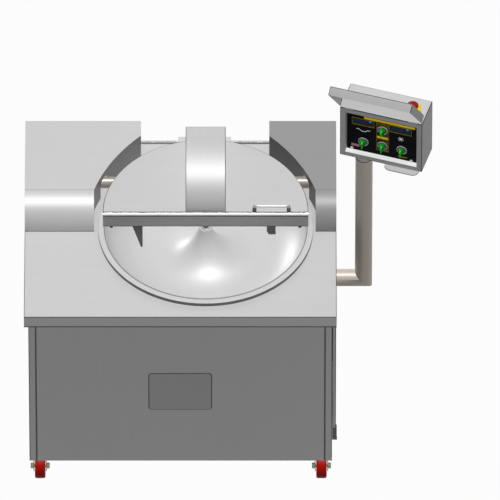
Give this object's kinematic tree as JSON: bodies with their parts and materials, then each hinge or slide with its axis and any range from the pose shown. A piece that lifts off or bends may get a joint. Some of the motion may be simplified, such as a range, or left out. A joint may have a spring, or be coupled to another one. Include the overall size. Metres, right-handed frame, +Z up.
{
  "type": "meat bowl cutter",
  "caption": "Bowl cutter on casters: turning annular bowl, hinged half lid with a knife hood, sickle knives on a level shaft, and a swing-out control box on a bent pipe.",
  "frame": {"origin": "on the floor below the middle of the whole machine, control box included", "axes": "+X to the operator's right, where the control box stands, +Y to the back, +Z up"},
  "size_m": [1.4256, 0.87, 1.6961],
  "materials": {
    "brushed_steel_top": "brushed stainless sheet",
    "panel_grey": "satin grey",
    "plate_grey": "satin grey, a little darker",
    "polished_steel": "polished stainless",
    "frame_steel": "grey primer",
    "motor_grey": "motor enamel",
    "cast_grey": "painted casting",
    "bright_steel": "ground steel",
    "belt_black": "matt rubber",
    "pipe_steel": "satin stainless pipe",
    "fascia_black": "black fascia",
    "knob_green": "green moulding",
    "stop_yellow": "yellow moulding",
    "stop_red": "red moulding",
    "wheel_red": "red polyurethane",
    "zinc_plate": "zinc plate",
    "buffer_rubber": "matt rubber"
  },
  "bodies": {
    "machine": {"base_pan": "frame_steel", "corner_posts": "frame_steel", "support_beams": "frame_steel", "front_panel": "panel_grey", "rear_panel": "panel_grey", "left_side_panel": "panel_grey", "right_side_panel": "panel_grey", "front_cover_plate": "plate_grey", "worktop": "brushed_steel_top", "left_housing": "brushed_steel_top", "right_housing": "brushed_steel_top", "shaft_sleeves": "polished_steel", "shaft_bearings": "cast_grey", "lid_hinge_bar": "polished_steel", "main_motor": "motor_grey", "knife_drive_belt": "belt_black", "bowl_bearing_housing": "cast_grey", "bowl_gearmotor": "motor_grey", "bowl_drive_belt": "belt_black", "control_arm": "pipe_steel", "caster_plates": "frame_steel", "frame_bolts": "bright_steel", "door_fittings": "bright_steel"},
    "bowl": {"bowl": "polished_steel", "bowl_spindle": "bright_steel", "bowl_pulley": "cast_grey"},
    "bowl_motor_pulley": {"bowl_motor_pulley": "cast_grey"},
    "knives": {"knife_shaft": "bright_steel", "knife_head": "bright_steel"},
    "motor_pulley": {"motor_pulley": "cast_grey"},
    "lid": {"lid_shell": "polished_steel", "knife_hood": "polished_steel", "lid_handle": "polished_steel", "plough": "polished_steel", "bowl_scraper": "polished_steel", "lid_buffers": "buffer_rubber", "lid_knuckles": "polished_steel"},
    "control_box": {"control_box": "pipe_steel", "control_fascia": "fascia_black", "stop_collar": "stop_yellow", "box_grip": "pipe_steel"},
    "box_cover": {"box_cover": "pipe_steel"},
    "stop_button": {"stop_button": "stop_red"},
    "side_door": {"side_door": "panel_grey"},
    "door_latch": {"door_latch": "bright_steel"},
    "selector_knob_1": {"selector_knob_1": "knob_green"},
    "selector_knob_2": {"selector_knob_2": "knob_green"},
    "selector_knob_3": {"selector_knob_3": "knob_green"},
    "selector_knob_4": {"selector_knob_4": "knob_green"},
    "fork_front_left": {"caster_fork_front_left": "zinc_plate"},
    "wheel_front_left": {"caster_wheel_front_left": "wheel_red"},
    "fork_front_right": {"caster_fork_front_right": "zinc_plate"},
    "wheel_front_right": {"caster_wheel_front_right": "wheel_red"},
    "fork_rear_left": {"caster_fork_rear_left": "zinc_plate"},
    "wheel_rear_left": {"caster_wheel_rear_left": "wheel_red"},
    "fork_rear_right": {"caster_fork_rear_right": "zinc_plate"},
    "wheel_rear_right": {"caster_wheel_rear_right": "wheel_red"}
  },
  "joints": [
    {"name": "bowl_spin", "type": "hinge", "parent": "machine", "child": "bowl", "pos_m": [-0.0788, -0.007, 0.84], "axis": [0, 0, 1], "continuous": true},
    {"name": "bowl_motor_spin", "type": "hinge", "parent": "machine", "child": "bowl_motor_pulley", "pos_m": [0.2512, -0.007, 0.555], "axis": [0, 0, 1], "continuous": true},
    {"name": "knife_spin", "type": "hinge", "parent": "machine", "child": "knives", "pos_m": [-0.0788, 0.177, 0.895], "axis": [1, 0, 0], "continuous": true},
    {"name": "motor_spin", "type": "hinge", "parent": "machine", "child": "motor_pulley", "pos_m": [-0.6308, 0.177, 0.256], "axis": [1, 0, 0], "continuous": true},
    {"name": "lid_hinge", "type": "hinge", "parent": "machine", "child": "lid", "pos_m": [-0.0788, 0.371, 0.9], "axis": [-1, 0, 0], "range_deg": [0, 90]},
    {"name": "box_swivel", "type": "hinge", "parent": "machine", "child": "control_box", "pos_m": [0.4748, -0.007, 1.22], "axis": [0, 0, 1], "range_deg": [-60, 60]},
    {"name": "cover_flip", "type": "hinge", "parent": "control_box", "child": "box_cover", "pos_m": [0.53245, -0.09019, 1.4904], "axis": [0.9537, -0.3007, 0], "range_deg": [0, 142.9]},
    {"name": "selector_1_turn", "type": "hinge", "parent": "control_box", "child": "selector_knob_1", "pos_m": [0.53847, -0.07111, 1.396], "axis": [-0.3007, -0.9537, 0], "range_deg": [-45, 45]},
    {"name": "selector_2_turn", "type": "hinge", "parent": "control_box", "child": "selector_knob_2", "pos_m": [0.47171, -0.05006, 1.321], "axis": [-0.3007, -0.9537, 0], "range_deg": [-45, 45]},
    {"name": "selector_3_turn", "type": "hinge", "parent": "control_box", "child": "selector_knob_3", "pos_m": [0.53847, -0.07111, 1.321], "axis": [-0.3007, -0.9537, 0], "range_deg": [-45, 45]},
    {"name": "selector_4_turn", "type": "hinge", "parent": "control_box", "child": "selector_knob_4", "pos_m": [0.60523, -0.09216, 1.321], "axis": [-0.3007, -0.9537, 0], "range_deg": [-45, 45]},
    {"name": "stop_push", "type": "slide", "parent": "control_box", "child": "stop_button", "axis": [0, 0, -1], "range_m": [0, 0.006], "stiffness_N_per_m": 300, "springref_m": -0.003},
    {"name": "door_hinge", "type": "hinge", "parent": "machine", "child": "side_door", "pos_m": [0.3712, -0.073, 0.52], "axis": [0, 0, 1], "range_deg": [0, 90]},
    {"name": "latch_turn", "type": "hinge", "parent": "machine", "child": "door_latch", "pos_m": [0.3692, -0.396, 0.201], "axis": [-1, 0, 0], "range_deg": [0, 90]},
    {"name": "swivel_front_left", "type": "hinge", "parent": "machine", "child": "fork_front_left", "pos_m": [-0.6613, -0.352, 0.104], "axis": [0, 0, 1], "continuous": true},
    {"name": "roll_front_left", "type": "hinge", "parent": "fork_front_left", "child": "wheel_front_left", "pos_m": [-0.6613, -0.38, 0.045], "axis": [1, 0, 0], "continuous": true},
    {"name": "swivel_front_right", "type": "hinge", "parent": "machine", "child": "fork_front_right", "pos_m": [0.3277, -0.352, 0.104], "axis": [0, 0, 1], "continuous": true},
    {"name": "roll_front_right", "type": "hinge", "parent": "fork_front_right", "child": "wheel_front_right", "pos_m": [0.3277, -0.38, 0.045], "axis": [1, 0, 0], "continuous": true},
    {"name": "swivel_rear_left", "type": "hinge", "parent": "machine", "child": "fork_rear_left", "pos_m": [-0.6613, 0.352, 0.104], "axis": [0, 0, 1], "continuous": true},
    {"name": "roll_rear_left", "type": "hinge", "parent": "fork_rear_left", "child": "wheel_rear_left", "pos_m": [-0.6613, 0.38, 0.045], "axis": [1, 0, 0], "continuous": true},
    {"name": "swivel_rear_right", "type": "hinge", "parent": "machine", "child": "fork_rear_right", "pos_m": [0.3277, 0.352, 0.104], "axis": [0, 0, 1], "continuous": true},
    {"name": "roll_rear_right", "type": "hinge", "parent": "fork_rear_right", "child": "wheel_rear_right", "pos_m": [0.3277, 0.38, 0.045], "axis": [1, 0, 0], "continuous": true}
  ],
  "couplings": [
    {"joint": "bowl_motor_spin", "follows": "bowl_spin", "ratio": 3.25},
    {"joint": "motor_spin", "follows": "knife_spin", "ratio": 0.5}
  ]
}
